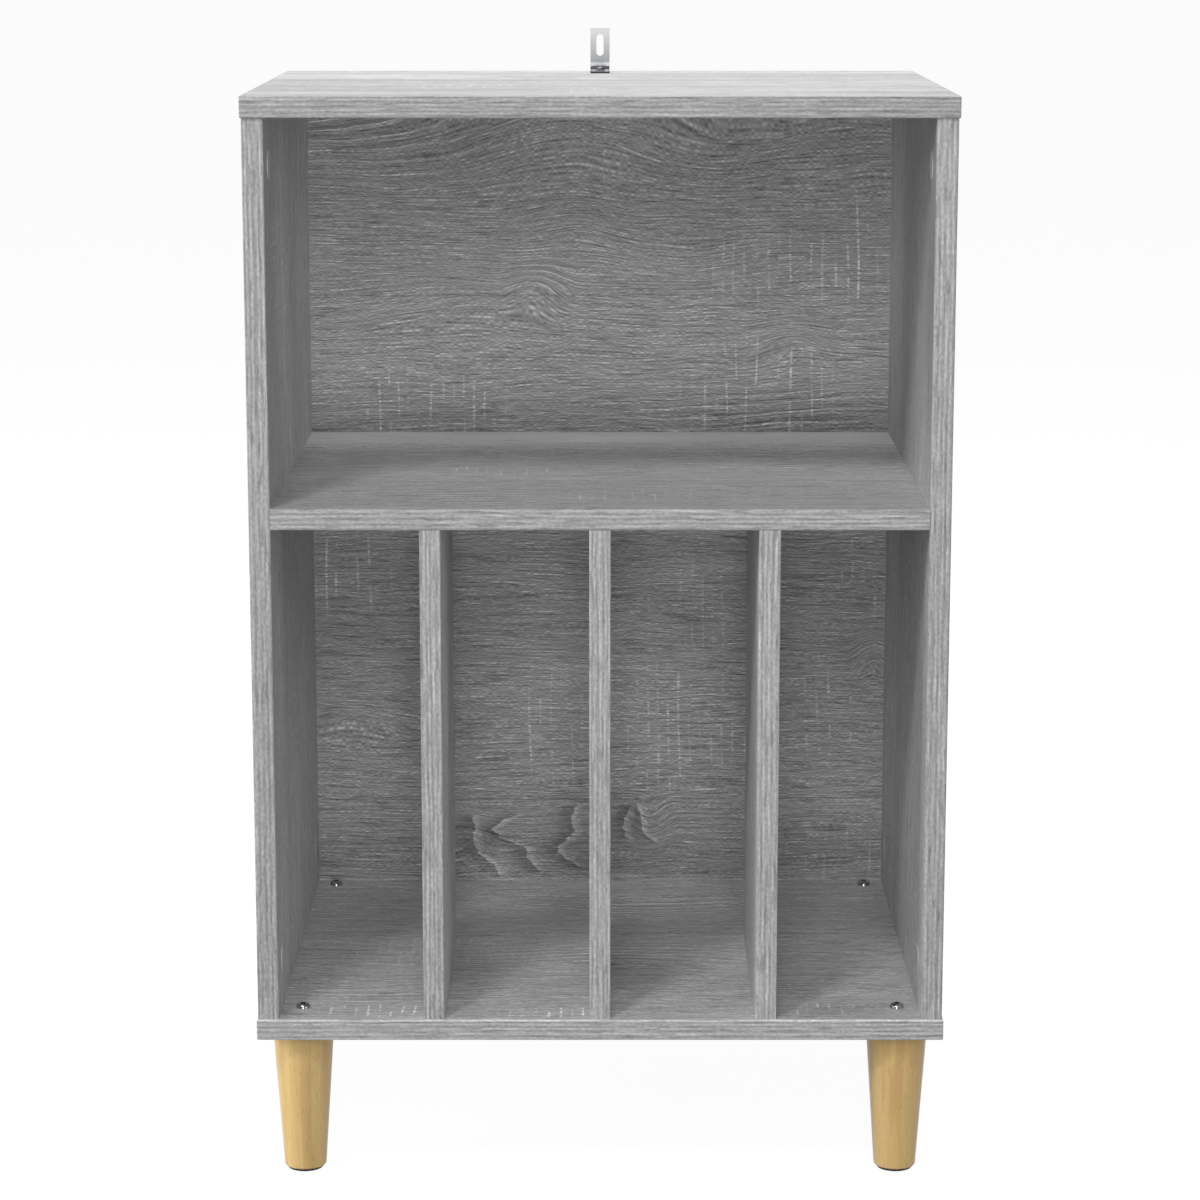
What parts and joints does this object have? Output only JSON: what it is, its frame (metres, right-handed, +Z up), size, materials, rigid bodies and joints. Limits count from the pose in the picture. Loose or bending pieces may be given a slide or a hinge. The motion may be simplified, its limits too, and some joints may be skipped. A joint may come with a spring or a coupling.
{
  "type": "turntable stand",
  "caption": "Upright record cabinet that carries a turntable: open bay over divided record slots, tapered wooden legs and a slotted wall bracket on the top.",
  "frame": {"origin": "middle of the footprint, on the floor", "axes": "+Z up, the open front faces -Y, +X to the right seen from the front"},
  "size_m": [0.49, 0.38, 0.806],
  "materials": {
    "grey_oak_board": "satin, grey oak grain foil",
    "edge_band": "satin, grey oak grain",
    "back_panel": "satin, grey oak grain foil",
    "leg_wood": "clear satin lacquer",
    "foot_pad": "matt",
    "chrome_bolt": "polished",
    "zinc_insert": "zinc plated",
    "steel_fastener": "zinc plated",
    "cam_zinc": "bare cast zinc alloy",
    "cover_plastic": "satin",
    "dowel_wood": "raw beech, fluted",
    "bracket_zinc": "zinc plated"
  },
  "bodies": {
    "cabinet": {"back_panel": "back_panel", "bottom_board": "grey_oak_board", "bottom_edge_band": "edge_band", "bracket_screw": "chrome_bolt", "carcass_cam_bolts": "steel_fastener", "carcass_cam_covers": "cover_plastic", "carcass_cam_locks": "cam_zinc", "carcass_dowels": "dowel_wood", "divider_dowels": "dowel_wood", "divider_screws": "steel_fastener", "front_left_foot_pad": "foot_pad", "front_left_leg": "leg_wood", "front_right_foot_pad": "foot_pad", "front_right_leg": "leg_wood", "left_divider": "grey_oak_board", "left_divider_edge_band": "edge_band", "left_side_edge_band": "edge_band", "left_side_panel": "grey_oak_board", "leg_bolts": "chrome_bolt", "leg_inserts": "zinc_insert", "middle_divider": "grey_oak_board", "middle_divider_edge_band": "edge_band", "middle_shelf": "grey_oak_board", "rear_left_foot_pad": "foot_pad", "rear_left_leg": "leg_wood", "rear_right_foot_pad": "foot_pad", "rear_right_leg": "leg_wood", "right_divider": "grey_oak_board", "right_divider_edge_band": "edge_band", "right_side_edge_band": "edge_band", "right_side_panel": "grey_oak_board", "shelf_cam_bolts": "steel_fastener", "shelf_cam_covers": "cover_plastic", "shelf_cam_locks": "cam_zinc", "shelf_dowels": "dowel_wood", "shelf_edge_band": "edge_band", "top_board": "grey_oak_board", "top_edge_band": "edge_band"},
    "bracket": {"wall_bracket": "bracket_zinc"}
  },
  "joints": [
    {"name": "bracket_swivel", "type": "hinge", "parent": "cabinet", "child": "bracket", "pos_m": [0, 0.168, 0.7745], "axis": [0, 0, 1], "continuous": true}
  ]
}
